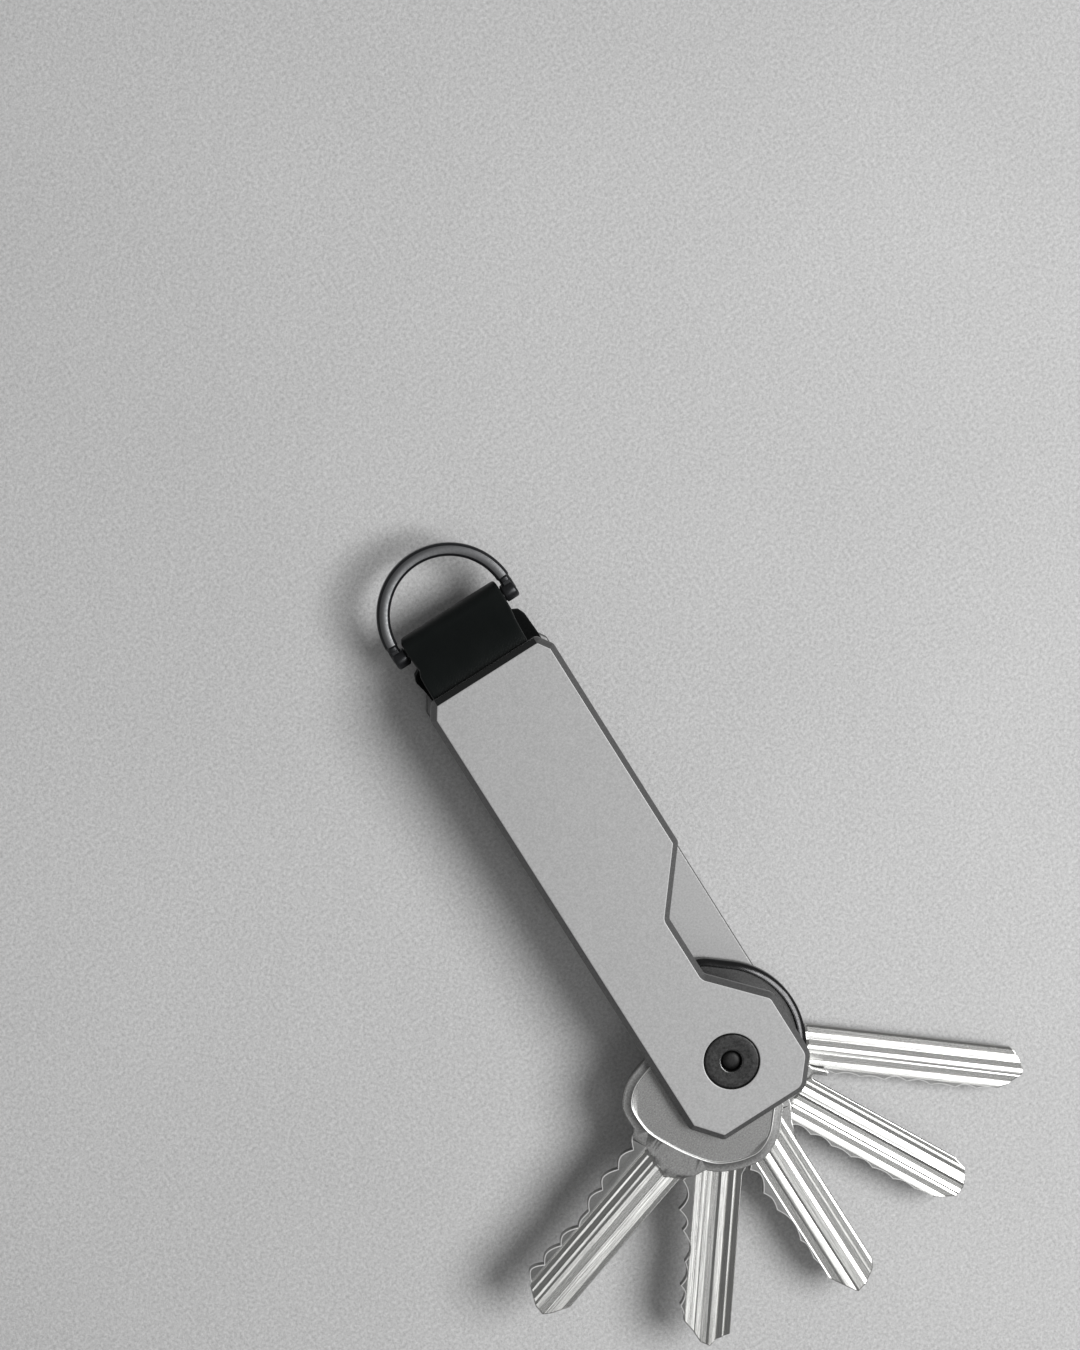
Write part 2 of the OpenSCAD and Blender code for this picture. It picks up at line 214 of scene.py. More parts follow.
SOCKET_LIP = 0.08  # a socket's mouth stands out this far from its sides
SOCKET_CHAMFER = 0.12  # how deep the mouth's chamfer goes


def put(centre, axis, points):
    """Points drawn round Z, moved to a centre with their axis laid along Z or X."""
    if axis == "X":
        points = [(z, x, y) for x, y, z in points]
    return [tuple(c + p for c, p in zip(centre, point)) for point in points]


def add_socket(bm, centre, axis, across_flats, z, depth):
    """A socket with a chamfered mouth. Returns the mouth's loop."""
    sizes = [(across_flats + 2 * SOCKET_LIP, z), (across_flats, z + math.copysign(SOCKET_CHAMFER, depth)),
             (across_flats, z + depth)]
    mouth, wall, end = (add_loop(bm, put(centre, axis, hexagon(size, at))) for size, at in sizes)
    bridge(bm, mouth, wall)
    bridge(bm, wall, end)
    cap(bm, [end])
    return mouth


def turned(node, profile, centres, materials, body="case", axis="Z", socket=None, count=96):
    """The same turned part at each centre, from a (radius, height, material above) profile: a closed ring,
    or with flat ends and a socket of (size, depth) in the first."""
    bm = bmesh.new()
    for centre in centres:
        rings = [add_loop(bm, put(centre, axis, [(x, y, z) for x, y in circle(r, count)]))
                 for r, z, _ in profile]
        for k in range(len(rings) - (1 if socket else 0)):
            bridge(bm, rings[k], rings[(k + 1) % len(rings)], profile[k][2])
        if socket:
            cap(bm, [rings[0], add_socket(bm, centre, axis, socket[0], profile[0][1], socket[1])])
            cap(bm, [rings[-1]])
    piece(bm, node, body, materials)


# ---- materials
OWN_PLACE = "own_place"         # a key's coordinates along and across its own blade
NOISE_LOW, NOISE_HIGH = 0.3, 0.7  # the span that most of a noise field's values fall in
ALL_ROUND = (1, 1, 1)


class Nodes:
    """A material whose colour, roughness and bump follow noise fields in the piece's own space."""

    def __init__(self, name, own_place=False):
        self.material = bpy.data.materials.new(name)
        self.material.use_nodes = True
        self.tree = self.material.node_tree
        self.bsdf = self.tree.nodes["Principled BSDF"]
        if own_place:
            self.place = self.node("Attribute", attribute_name=OWN_PLACE).outputs["Vector"]
        else:
            self.place = self.tree.nodes.new("ShaderNodeTexCoord").outputs["Object"]

    def node(self, kind, **values):
        made = self.tree.nodes.new("ShaderNode" + kind)
        for key, value in values.items():
            if hasattr(made, key):
                setattr(made, key, value)
            else:
                made.inputs[key].default_value = value
        return made

    def link(self, a, b):
        self.tree.links.new(a, b)

    def noise(self, per_mm, stretch=ALL_ROUND, detail=3.0, rough=0.55, offset=(0, 0, 0)):
        """Noise with features of about 1 / per_mm mm, drawn out along each axis whose stretch is below 1."""
        mapping = self.node("Mapping")
        mapping.inputs["Scale"].default_value = stretch
        mapping.inputs["Location"].default_value = offset
        self.link(self.place, mapping.inputs["Vector"])
        made = self.node("TexNoise", Scale=per_mm / MM, Detail=detail, Roughness=rough)
        self.link(mapping.outputs["Vector"], made.inputs["Vector"])
        return made.outputs["Fac"]

    def ramp(self, value, stops):
        made = self.node("ValToRGB")
        elements = made.color_ramp.elements
        while len(elements) < len(stops):
            elements.new(1.0)
        for element, (at, colour) in zip(elements, stops):
            element.position = at
            element.color = (*((colour,) * 3 if isinstance(colour, (int, float)) else colour), 1)
        self.link(value, made.inputs["Fac"])
        return made.outputs["Color"]

    def span(self, value, low, high):
        made = self.node("MapRange", **{"From Min": NOISE_LOW, "From Max": NOISE_HIGH,
                                        "To Min": low, "To Max": high})
        self.link(value, made.inputs["Value"])
        return made.outputs["Result"]

    def mix(self, a, b):
        made = self.node("Mix", data_type="RGBA", blend_type="MULTIPLY")
        made.inputs["Factor"].default_value = 1.0
        self.link(a, made.inputs["A"])
        self.link(b, made.inputs["B"])
        return made.outputs["Result"]

    def bump(self, height, depth_mm, before=None):
        made = self.node("Bump", Strength=1.0, Distance=depth_mm * MM)
        self.link(height, made.inputs["Height"])
        if before:
            self.link(before, made.inputs["Normal"])
        return made.outputs["Normal"]

    def done(self, colour, roughness, normal, metallic=0.0, **sockets):
        self.link(colour, self.bsdf.inputs["Base Color"])
        self.link(roughness, self.bsdf.inputs["Roughness"])
        self.link(normal, self.bsdf.inputs["Normal"])
        self.bsdf.inputs["Metallic"].default_value = metallic
        for key, value in sockets.items():
            self.bsdf.inputs[key.replace("_", " ")].default_value = value
        return self.material


CLOUD_PER_MM = 0.16  # faint wide clouding of a blasted face
CLOUD_DIM = 0.93
FINE_PER_MM = 14  # fine scatter over a machined face
FINE_DIM = 0.9


def blasted(name, dark, light, rough, metallic=0.9, grain=0.006, own_place=False, per_mm=9, **sockets):
    """Blasted metal: fine grain with faint clouding."""
    n = Nodes(name, own_place)
    grain_field = n.noise(per_mm, detail=5, rough=0.7)
    cloud = n.noise(CLOUD_PER_MM, offset=(0.3, 0.1, 0))
    colour = n.mix(n.ramp(grain_field, [(NOISE_LOW, dark), (NOISE_HIGH, light)]),
                   n.ramp(cloud, [(0.35, CLOUD_DIM), (0.65, 1.0)]))
    return n.done(colour, n.span(cloud, rough - 0.03, rough + 0.04), n.bump(grain_field, grain), metallic,
                  **sockets)


def cut_metal(name, dark, light, rough, metallic=1.0, per_mm=6, stretch=ALL_ROUND, depth=0.004,
              own_place=False):
    """Machined metal with fine lines."""
    n = Nodes(name, own_place)
    lines = n.noise(per_mm, stretch, detail=4, rough=0.6)
    fine = n.noise(FINE_PER_MM, detail=2, offset=(0.7, 0, 0))
    colour = n.mix(n.ramp(lines, [(NOISE_LOW, dark), (0.68, light)]),
                   n.ramp(fine, [(NOISE_LOW, FINE_DIM), (NOISE_HIGH, 1.0)]))
    return n.done(colour, n.span(lines, rough + 0.06, rough - 0.04),
                  n.bump(fine, depth * 0.5, n.bump(lines, depth)), metallic)


def leather_material():
    """Smooth leather: pores and creases under a waxed coat."""
    n = Nodes("leather")
    pores = n.node("TexVoronoi", feature="DISTANCE_TO_EDGE")
    pores.inputs["Scale"].default_value = 2.6 / MM
    n.link(n.place, pores.inputs["Vector"])
    cells = n.ramp(pores.outputs["Distance"], [(0, 0.0), (0.22, 1.0)])
    folds = n.noise(0.5, (1, 0.3, 1), detail=4)
    cloud = n.noise(0.12)
    colour = n.ramp(cloud, [(NOISE_LOW, (0.003, 0.0045, 0.0043)), (NOISE_HIGH, (0.005, 0.007, 0.0066))])
    return n.done(colour, n.span(folds, 0.36, 0.5), n.bump(cells, 0.014, n.bump(folds, 0.03)),
                  Specular_IOR_Level=0.2, Coat_Weight=0.05, Coat_Roughness=0.4)


PLATE_FACE = blasted("plate_face", 0.35, 0.5, rough=0.6, metallic=0.5, per_mm=3.2)
PLATE_BEVEL = cut_metal("plate_bevel", 0.15, 0.22, rough=0.42, metallic=0.8, per_mm=3, stretch=(1, 1, 0.2))
PLATE_SIDE = blasted("plate_side", 0.2, 0.26, rough=0.45)
PLATE_LIP = blasted("plate_lip", 0.46, 0.54, rough=0.5, metallic=0.6, grain=0.002)
# near black: paints the dark leather's reflection in the bevel over the strap
PLATE_BEVEL_LEATHER_REFLECTION = blasted("plate_bevel_painted_reflection", (0.01, 0.011, 0.011), (0.02, 0.021, 0.021), rough=0.5, metallic=0.3,
                    grain=0.002)

KEY_BOW = blasted("key_bow", (0.13, 0.13, 0.128), (0.29, 0.29, 0.286), rough=0.44, metallic=1.0, grain=0.01,
                  own_place=True, per_mm=4.4)
KEY_BLADE = cut_metal("key_blade", (0.46, 0.46, 0.45), (0.68, 0.68, 0.66), rough=0.22,
                      stretch=(0.03, 1, 1), own_place=True)
KEY_CUT = blasted("key_cut", (0.24, 0.24, 0.236), (0.34, 0.34, 0.335), rough=0.36, metallic=1.0,
                  grain=0.008, own_place=True, per_mm=5)
KEY_STEP = cut_metal("key_step", (0.6, 0.6, 0.59), (0.7, 0.7, 0.69), rough=0.3, per_mm=5, depth=0.002)
# near-black polished metal: paints the shade and dark reflections on the rear key's rim
KEY_RIM_PAINTED_SHADE = cut_metal("key_rim_painted_shade", (0.025, 0.025, 0.026), (0.05, 0.05, 0.051), rough=0.15, metallic=0.8,
                    per_mm=4, depth=0.002)
# a dark copy of the bow metal: painted shade of the front plate over the rear key's bow
KEY_PAINTED_SHADE = blasted("key_painted_shade", 0.05, 0.1, rough=0.4, metallic=1.0, grain=0.01, own_place=True, per_mm=4)
# nearly white and barely metallic: paints the bright highlight lines along the cut edges
KEY_CUT_EDGE_HIGHLIGHT = cut_metal("key_cut_edge_painted_highlight", (0.74, 0.74, 0.73), (0.86, 0.86, 0.85), rough=0.4, metallic=0.2,
                     per_mm=5, depth=0.002)

# lit and shaded copies of one gunmetal: the face copy paints light on the flat faces, the darker copy paints
# shade on the sides
GUNMETAL_LIT_FACE = cut_metal("gunmetal_lit_face", (0.12, 0.122, 0.125), (0.16, 0.162, 0.166), rough=0.4, per_mm=2)
GUNMETAL_SHADED = cut_metal("gunmetal_painted_shade", (0.02, 0.021, 0.023), (0.035, 0.036, 0.039), rough=0.3,
                          metallic=0.6, per_mm=3, depth=0.003)
BLACK_STEEL = blasted("black_steel", 0.006, 0.05, rough=0.4, metallic=0.7, grain=0.012, per_mm=2.4)
# black steel, coloured darker still to paint the shade at the bottom of the bore where the screw's end shows
BLACK_SCREW_BORE_SHADE = blasted("black_screw_bore_shade", 0.004, 0.018, rough=0.45, metallic=0.6, grain=0.012, per_mm=2.4)
BLACK_RIM = cut_metal("black_rim", 0.12, 0.24, rough=0.25, per_mm=3, depth=0.003)
SCREW_STEEL = cut_metal("screw_steel", 0.05, 0.1, rough=0.33, metallic=0.9, per_mm=4)
SPRING_STEEL = cut_metal("spring_steel", (0.32, 0.32, 0.31), (0.44, 0.44, 0.42), rough=0.28, per_mm=4,
                         depth=0.003)
NYLON = blasted("nylon", (0.62, 0.61, 0.56), (0.72, 0.71, 0.66), rough=0.48, metallic=0.0, grain=0.004)
SPACER_PLASTIC = blasted("spacer_plastic", 0.03, 0.05, rough=0.55, metallic=0.0, grain=0.01)
LEATHER = leather_material()
LEATHER_INSIDE = blasted("leather_inside", (0.002, 0.0025, 0.0025), (0.006, 0.0065, 0.0065), rough=0.95,
                         metallic=0.0, grain=0.02, per_mm=3, Specular_IOR_Level=0.1)

# ---- the two plates
BEVEL = 0.9  # the long bevel, as wide as it is deep
SOFT = 0.06  # how softly it starts from the side
LIP = 0.1
FLAT_RING = 0.2  # inside each soft edge, keeps the face's shading level
STRAP_CORNER = (1.6, 2.4)
TAIL_CORNER = (3.6, 4.4)
NOTCH_RISE = (5.4, 13.6, 23.8, 33.1)
NOTCH_DEPTH = 7.4
PLATE_CORNERS = [
    (-HALF_W, -HALF_L + TAIL_CORNER[1]), (-HALF_W + TAIL_CORNER[0], -HALF_L),
    (HALF_W - TAIL_CORNER[0], -HALF_L), (HALF_W, -HALF_L + TAIL_CORNER[1]),
    (HALF_W, PIVOT.y + NOTCH_RISE[0]), (HALF_W - NOTCH_DEPTH, PIVOT.y + NOTCH_RISE[1]),
    (HALF_W - NOTCH_DEPTH, PIVOT.y + NOTCH_RISE[2]), (HALF_W, PIVOT.y + NOTCH_RISE[3]),
    (HALF_W, HALF_L - STRAP_CORNER[1]), (HALF_W - STRAP_CORNER[0], HALF_L),
    (-HALF_W + STRAP_CORNER[0], HALF_L), (-HALF_W, HALF_L - STRAP_CORNER[1]),
]
PLATE_RADII = [1, 1, 2.6, 2.6, 2, 1, 1, 1, 1, 1, 1, 1]
SCREW_X = 5.5
SCREW_HEAD_R = 2.4
SCREWS_LOW, SCREWS_HIGH = box_mm("strap_screws")
SCREWS_AT = [(x, SCREWS_LOW.y + SCREW_HEAD_R) for x in (-SCREW_X, SCREW_X)]
POST_HOLE_R = 2.45
DISC_SEAT_R = 4.35
DISC_SEAT_DEPTH = 1.1
SCREW_HOLE_R = 1.35
COUNTERSINK_R = 2.65
COUNTERSINK_DEPTH = 1.2
FACE_MAT, BEVEL_MAT, SIDE_MAT, LIP_MAT, LEATHER_REFLECTION_MAT = range(5)
PLATE_FINISHES = [PLATE_FACE, PLATE_BEVEL, PLATE_SIDE, PLATE_LIP, PLATE_BEVEL_LEATHER_REFLECTION]


def plate_levels(inner, finish):
    """Round inner edge, straight side, long bevel and fine lip."""
    bevel_start = PLATE_T - BEVEL
    inner_edge = [(d, inner - z, finish) for d, z in reversed(soft_corner(inner, 0, inner))]
    side = [(0, bevel_start - SOFT, SIDE_MAT), (SOFT / 4, bevel_start, BEVEL_MAT),
            (SOFT, bevel_start + SOFT, BEVEL_MAT)]
    roll = [(BEVEL - 0.05, PLATE_T - 0.055, BEVEL_MAT), (BEVEL - 0.015, PLATE_T - 0.025, LIP_MAT),
            (BEVEL + 0.045, PLATE_T, FACE_MAT), (BEVEL + FLAT_RING, PLATE_T, FACE_MAT)]
    return [(inner + FLAT_RING / 2, 0, FACE_MAT)] + inner_edge + side + roll


def pivot_hole():
    seat = PLATE_T - DISC_SEAT_DEPTH
    return (PIVOT.x, PIVOT.y), [
        (DISC_SEAT_R + 2 * LIP, PLATE_T, FACE_MAT), (DISC_SEAT_R + LIP, PLATE_T, LIP_MAT),
        (DISC_SEAT_R + LIP * 0.3, PLATE_T - LIP * 0.3, LIP_MAT), (DISC_SEAT_R, PLATE_T - LIP, SIDE_MAT),
        (DISC_SEAT_R, seat, SIDE_MAT), (POST_HOLE_R, seat, SIDE_MAT), (POST_HOLE_R, 0, SIDE_MAT)]


def screw_holes(profile):
    return [(at, profile) for at in SCREWS_AT]


def front_plate():
    plate = slab("front_plate", PLATE_CORNERS, PLATE_RADII, plate_levels(0.12, SIDE_MAT), [pivot_hole()],
                 PLATE_FINISHES, Matrix.Translation((0, 0, FRONT_LOW.z * MM)))
    for face in plate.data.polygons:        # the bevel over the leather is coloured near black: a painted reflection of the dark leather
        over_leather = face.center.y > (HALF_L - BEVEL) * MM and abs(face.center.x) < MM
        if face.material_index == BEVEL_MAT and over_leather:
            face.material_index = LEATHER_REFLECTION_MAT


def rear_plate():
    """The front plate's shape turned over, with two countersinks."""
    countersink = [(COUNTERSINK_R, PLATE_T, SIDE_MAT), (SCREW_HOLE_R, PLATE_T - COUNTERSINK_DEPTH, SIDE_MAT),
                   (SCREW_HOLE_R, 0, SIDE_MAT)]
    turned_over = Matrix.Rotation(math.pi, 4, "Y")
    # the inner round takes the dark bevel finish, which paints a thin line of shade along the edge by the
    # keys
    slab("rear_plate", PLATE_CORNERS, PLATE_RADII, plate_levels(0.28, BEVEL_MAT),
         [pivot_hole()] + screw_holes(countersink), PLATE_FINISHES,
         Matrix.Translation((0, 0, REAR_HIGH.z * MM)) @ turned_over)


front_plate()
rear_plate()

# ---- the pivot
AT_PIVOT = (PIVOT.x, PIVOT.y, 0)
HEAD_R = 4.25  # of the post's disc and of the screw's head


def pivot_barrel():
    """The post and its front disc with a soft rim and a polished mouth to the bore."""
    bore_r, post_r, disc_t, undercut = 1.55, 2.4, 0.99, 0.05
    top = POST_HIGH.z
    disc_low = top - disc_t
    rim = [(0, 0.22), (0.03, 0.12), (0.13, 0.03), (0.3, 0)]
    mouth = [(1.45, 0.05, 0), (0.4, 0.05, 0), (0.25, 0.05, 1), (0.15, 0.1, 1), (0.07, 0.22, 1),
             (0.02, 0.4, 0), (0, 0.8, 0)]
    profile = [(bore_r, POST_LOW.z, 0), (post_r, POST_LOW.z, 0), (post_r, disc_low, 0),
               (HEAD_R - undercut, disc_low, 0), (HEAD_R, disc_low + undercut, 0)]
    profile += [(HEAD_R - inwards, top - drop, 0) for inwards, drop in rim]
    profile += [(bore_r + outwards, top - drop, finish) for outwards, drop, finish in mouth]
    turned("pivot_barrel", profile, [AT_PIVOT], [BLACK_STEEL, BLACK_RIM])


def pivot_screw():
    """The rear screw. Its rounded end shows in the disc's bore."""
    shank_r, head_t, chamfer, socket = 1.5, 0.95, 0.06, (2.5, 1.6)
    low, high = (corner.z for corner in box_mm("pivot_screw"))
    head_top = low + head_t
    rim = [(0.3, 0), (0.13, 0.04), (0.03, 0.12), (0, 0.24)]
    tip = [(0, 0.5), (0.08, 0.32), (0.3, 0.13), (0.65, 0.03), (1.05, 0)]
    profile = [(HEAD_R - inwards, low + rise, 0) for inwards, rise in rim]
    profile += [(HEAD_R, head_top - chamfer, 0), (HEAD_R - chamfer, head_top, 0), (shank_r, head_top, 0)]
    profile += [(shank_r - inwards, high - drop, 0) for inwards, drop in tip]
    turned("pivot_screw", profile, [AT_PIVOT], [BLACK_SCREW_BORE_SHADE], socket=socket)


def washer(node):
    bore_r, soft = 2.5, 0.08
    low, high = box_mm(node)
    corners = [(bore_r, low.z, 1, 1), (high.x, low.z, -1, 1), (high.x, high.z, -1, -1),
               (bore_r, high.z, 1, -1)]
    profile = []
    for n, (r, z, inwards, up) in enumerate(corners):
        arc = [(r, z + up * soft, 0), (r + inwards * soft * 0.3, z + up * soft * 0.3, 0),
               (r + inwards * soft, z, 0)]
        profile += arc if n % 2 == 0 else arc[::-1]
    turned(node, profile, [AT_PIVOT], [NYLON])


def disc_spring():
    bore_r, rim_r, t, soft = 2.5, 4, 0.25, 0.06
    low, high = box_mm("disc_spring")
    profile = [(bore_r, low.z, 0), (bore_r + soft, low.z, 0), (rim_r - 0.04, high.z - 0.27, 0),
               (rim_r, high.z - 0.22, 0), (rim_r, high.z - 0.04, 0), (rim_r - soft, high.z, 0),
               (bore_r + soft, low.z + t, 0), (bore_r, low.z + t - 0.05, 0)]
    turned("disc_spring", profile, [AT_PIVOT], [SPRING_STEEL])


pivot_barrel()
pivot_screw()
for washer_node in ["front_washer", "rear_washer"] + [f"key_washer_{k}" for k in (1, 2, 3, 4)]:
    washer(washer_node)
disc_spring()


# ---- strap screws and spacer
def strap_screws():
    shank_r, shank_low, end_chamfer, socket = 1.25, 1.1, (0.25, 0.35), (1.5, 0.85)
    low, high = SCREWS_LOW.z, SCREWS_HIGH.z
    profile = [(SCREW_HEAD_R - 0.2, low, 0), (SCREW_HEAD_R - 0.08, low + 0.03, 0),
               (SCREW_HEAD_R, low + 0.1, 0), (shank_r, shank_low, 0),
               (shank_r, high - end_chamfer[1], 0), (shank_r - end_chamfer[0], high, 0)]
    turned("strap_screws", profile, [(x, y, 0) for x, y in SCREWS_AT], [SCREW_STEEL],
           socket=socket, count=64)


def end_spacer():
    corner_r, edge = 0.8, 0.3
    low, high = box_mm("end_spacer")
    corners = [(low.x, low.y), (high.x, low.y), (high.x, high.y), (low.x, high.y)]
    edge_steps = [(edge, 0), (edge * 0.3, edge * 0.3), (0, edge)]
    levels = [(d, low.z + rise, 0) for d, rise in edge_steps]
    levels += [(d, high.z - drop, 0) for d, drop in reversed(edge_steps)]
    slab("end_spacer", corners, [corner_r] * 4, levels,
         screw_holes([(SCREW_HOLE_R, high.z, 0), (SCREW_HOLE_R, low.z, 0)]), [SPACER_PLASTIC])


strap_screws()
end_spacer()


# ---- keys
# A key is drawn with X out along its blade from the post and Y away from its cuts. fan is its direction
# from -Y in degrees, and bands are the (side, height) corners of its milled grooves.
KEYS = {
    "key_1": dict(
        fan=-72.7, rim_w=1.45, rim_d=0.1,
        rim=[(15.2, -6.7), (16.2, -4.6), (16.7, -2.1), (16.5, 0.2), (15.7, 4.1), (14.5, 7.7), (13.4, 9.6),
         (11.6, 11.3), (9.9, 12.4), (8, 13.1), (5.6, 12.8), (3.4, 11.7), (0, 9), (-2.6, 4),
         (-2.8, -1.5), (-0.5, -6), (4, -8.1), (8.8, -8.3), (12.6, -8.1)],
        neck=[(0, -8.5), (15, -8.5), (17.5, -4.9), (19.4, 0), (19.4, 6.6), (17.5, 8), (15, 9), (0, 9)],
        teeth=[(17.4, -4.9), (18.5, -3.6), (20.4, -2), (22.4, -2.8), (24.2, -1.8), (26.6, -2.8),
         (28.2, -1.6), (30.2, -2.3), (32.1, -1), (33.7, -1.1), (35, -0.6), (37.4, -1.7), (38.9, -0.9),
         (41.2, -1.8), (42.8, -0.9), (44.7, -2), (46.4, -0.3)],
        tip=[(46.9, -0.1), (48.6, 2.3), (48.95, 4), (48, 4.9), (45.4, 6.6)],
        start=[(18.9, -0.6), (19.3, 0.2), (19.1, 0.9), (19.7, 1.7), (19.8, 3), (20.3, 4.4), (19.6, 5.3),
            (18.8, 6.6)],
        bands=[(-2.8, -0.34), (-0.9, -0.06), (-0.75, -0.02), (-0.55, -0.06), (-0.5, -0.44), (0.2, -0.16),
         (0.24, -0.13), (0.56, -0.13), (0.6, -0.4), (1.4, -0.2), (1.45, -0.1), (1.85, -0.13),
         (1.9, -0.18), (2.2, -0.13), (2.25, -0.08), (2.95, -0.06), (3, -0.28), (4.05, -0.2),
         (4.1, -0.06), (4.35, -0.07), (4.4, -0.1), (4.7, -0.09), (4.75, -0.05), (5.75, -0.14),
         (5.8, -0.3), (6.5, -0.22)]),
    "key_2": dict(
        fan=-36.2, bow=(-2.8, 16.4, -10.4, 8.8), corner=9.4,
        neck=[(0, -6), (13, -6), (17, -5.4), (18.6, -3.6), (18.6, 3.8), (17, 4.6), (13, 5.6), (0, 5.6)],
        teeth=[(17.2, -5.4), (18.6, -4.6), (20.1, -5.4), (22.5, -4.4), (24.8, -5.6), (26.8, -4.2),
         (28, -4.8), (31, -3.4), (32.9, -4.1), (34.8, -3.6), (36.7, -4.5), (38, -3.7), (39.8, -4.3),
            (42.3, -3.5)],
        tip=[(43.8, -2), (45.5, -0.7), (46, 0.8), (44.9, 1.8), (43.9, 3.8)],
        start=[(15.6, -3.6), (15.9, -2), (15.6, -0.6), (16, 0.6), (15.7, 1.8), (16.1, 2.8), (15.8, 3.8)],
        bands=[(-6, -0.36), (-3.6, -0.09), (-3.45, -0.07), (-2.8, -0.05), (-2.6, -0.09), (-2.5, -0.06),
         (-1.9, -0.045), (-1.8, -0.09), (-1.7, -0.06), (-0.95, -0.04), (-0.9, -0.3), (0.15, -0.22),
         (0.35, -0.15), (0.5, -0.075), (1.46, -0.05), (1.5, -0.44), (2.35, -0.14), (2.5, -0.1),
         (2.7, -0.12), (2.74, -0.44), (3.5, -0.16), (3.7, -0.1)]),
    "key_3": dict(
        fan=0.2, bow=(-8.7, 9.9, -9.3, 9.3), corner=9,
        neck=[(0, -6), (7.5, -6), (12.8, -6.4), (18, -5.2), (18, 2), (15, 2.95), (12.8, 4.2), (7.5, 5.4),
            (0, 5.4)],
        teeth=[(14.5, -6.2), (16.2, -5.6), (18, -6.7), (19.6, -5.7), (22.3, -6.9), (24, -6.2),
         (25.7, -6.5), (29, -5.4), (31.9, -6), (33, -5.5), (35.4, -5.75), (37.4, -5.35), (39.2, -5.5)],
        tip=[(41.9, -3.9), (43.85, -2.6), (43.4, -1), (41.9, 1.3), (40.4, 2)],
        start=[(11.6, -5.2), (12, -3.6), (11.7, -2), (12.1, -0.6), (11.8, 0.8), (12.1, 2)],
        bands=[(-7, -0.2), (-5.4, -0.08), (-5.3, -0.06), (-5.1, -0.1), (-5.05, -0.31), (-4.05, -0.2),
         (-4, -0.17), (-3.75, -0.14), (-3.3, -0.095), (-2.75, -0.2), (-2.7, -0.4), (-2.45, -0.34),
         (-1.15, -0.24), (-1.1, -0.1), (-0.6, -0.22), (-0.55, -0.36), (0.4, -0.26), (0.45, -0.15),
         (0.68, -0.14), (0.72, -0.34), (1.48, -0.26), (1.53, -0.12), (1.85, -0.18), (1.9, -0.28)]),
    "key_4": dict(
        fan=28.4, bow=(-9.2, 11.6, -10.4, 10.4), corner=10,
        neck=[(0, -5.6), (10, -5.6), (15.4, -5.5), (16.5, -4.5), (16.5, 2.5), (14.9, 2.5), (14.4, 2.8),
         (14.6, 3.3), (16.5, 4.05), (16.35, 4.75), (14, 4.05), (10, 4.4), (0, 4.4)],
        teeth=[(15, -5.5), (17, -4.8), (18.8, -5.3), (20.6, -4.7), (22.6, -5.3), (24.3, -5), (26.2, -5.35),
         (28.2, -4.7), (30, -5.2), (32, -4.85), (33.8, -5.2), (35.8, -4.65), (37.6, -4.9), (39.4, -4.6)],
        tip=[(40.6, -4.6), (42, -4), (44, -2.8), (44.35, -1), (43.9, 0.2), (43, 1.8), (40.8, 2.5)],
        start=[(13.6, -4.5), (13.9, -3), (13.5, -1.4), (13.9, 0.2), (13.5, 1.4), (13.8, 2.5)],
        bands=[(-5.6, -0.13), (-4.5, -0.06), (-4.2, -0.06), (-3.65, -0.18), (-3.6, -0.34), (-2.75, -0.24),
         (-2.7, -0.1), (-2.4, -0.15), (-2.35, -0.16), (-2.1, -0.06), (-1.5, -0.19), (-1.45, -0.34),
         (-0.75, -0.26), (-0.45, -0.16), (-0.4, -0.08), (-0.15, -0.12), (0.1, -0.06), (0.9, -0.24),
         (0.95, -0.34), (1.45, -0.26), (1.5, -0.16), (1.78, -0.17), (1.83, -0.34), (2.5, -0.24)]),
    "key_5": dict(
        fan=50.6, bow=(-9.6, 13.4, -13.4, 13.4), corner=(13.3, 13.3, 6, 6), rim_w=1.15, rim_d=0.7, dome=0.6,
        neck=[(0, -4), (11, -4), (14, -2.8), (15.2, -1.8), (15.2, 4.8), (12.8, 4.8), (10.5, 5.8), (0, 6.4)],
        teeth=[(14, -2.8), (16.6, -2.1), (18.6, -2.6), (20.6, -2.2), (22.6, -2.6), (24.4, -2.3),
         (26.4, -2.65), (28.2, -1.95), (30, -2.5), (32, -2.05), (33.8, -2.6), (35.8, -2.3),
         (37.8, -2.6), (39.4, -1.95), (41.2, -2.4), (43.2, -1.95)],
        tip=[(44.7, -1.8), (46.2, -1), (48.1, 0.7), (48.2, 1.5), (47.4, 3), (46.4, 4.3), (45.6, 4.8)],
        start=[(13.3, -1.8), (13.45, 0), (13.4, 1.5), (13.1, 3.2), (12.6, 4.8)],
        bands=[(-3.2, -0.22), (-1.5, -0.06), (-1.15, -0.06), (-0.7, -0.16), (-0.65, -0.34), (0.25, -0.22),
         (0.3, -0.14), (0.5, -0.15), (0.55, -0.18), (1, -0.1), (1.55, -0.22), (1.6, -0.36),
         (2.45, -0.24), (2.5, -0.08), (2.7, -0.1), (2.75, -0.07), (3, -0.07), (3.6, -0.15),
         (3.65, -0.34), (4.4, -0.24), (4.5, -0.3), (4.75, -0.46)]),
}
BACK_BANDS = [(-9, 0), (0, 0), (0.25, 0.38), (0.85, 0.42), (1.1, 0), (2.9, 0), (3.15, 0.4), (3.7, 0.42),
              (3.95, 0), (9, 0)]
BOW_STEPS = 18
RIM_W, RIM_D, RIM_RUN = 1.5, 0.2, 0.17  # a bow's rim: its width, height and the run of its step
RIM_RINGS = (0, 0.3, 0.7, 1)
BEAD_W, BEAD_H = 0.2, 0.035  # the polished bead inside the rim
BEAD_RINGS = (0.25, 0.5, 0.75, 1)
DOME_RINGS = (0.12, 0.3, 0.6)
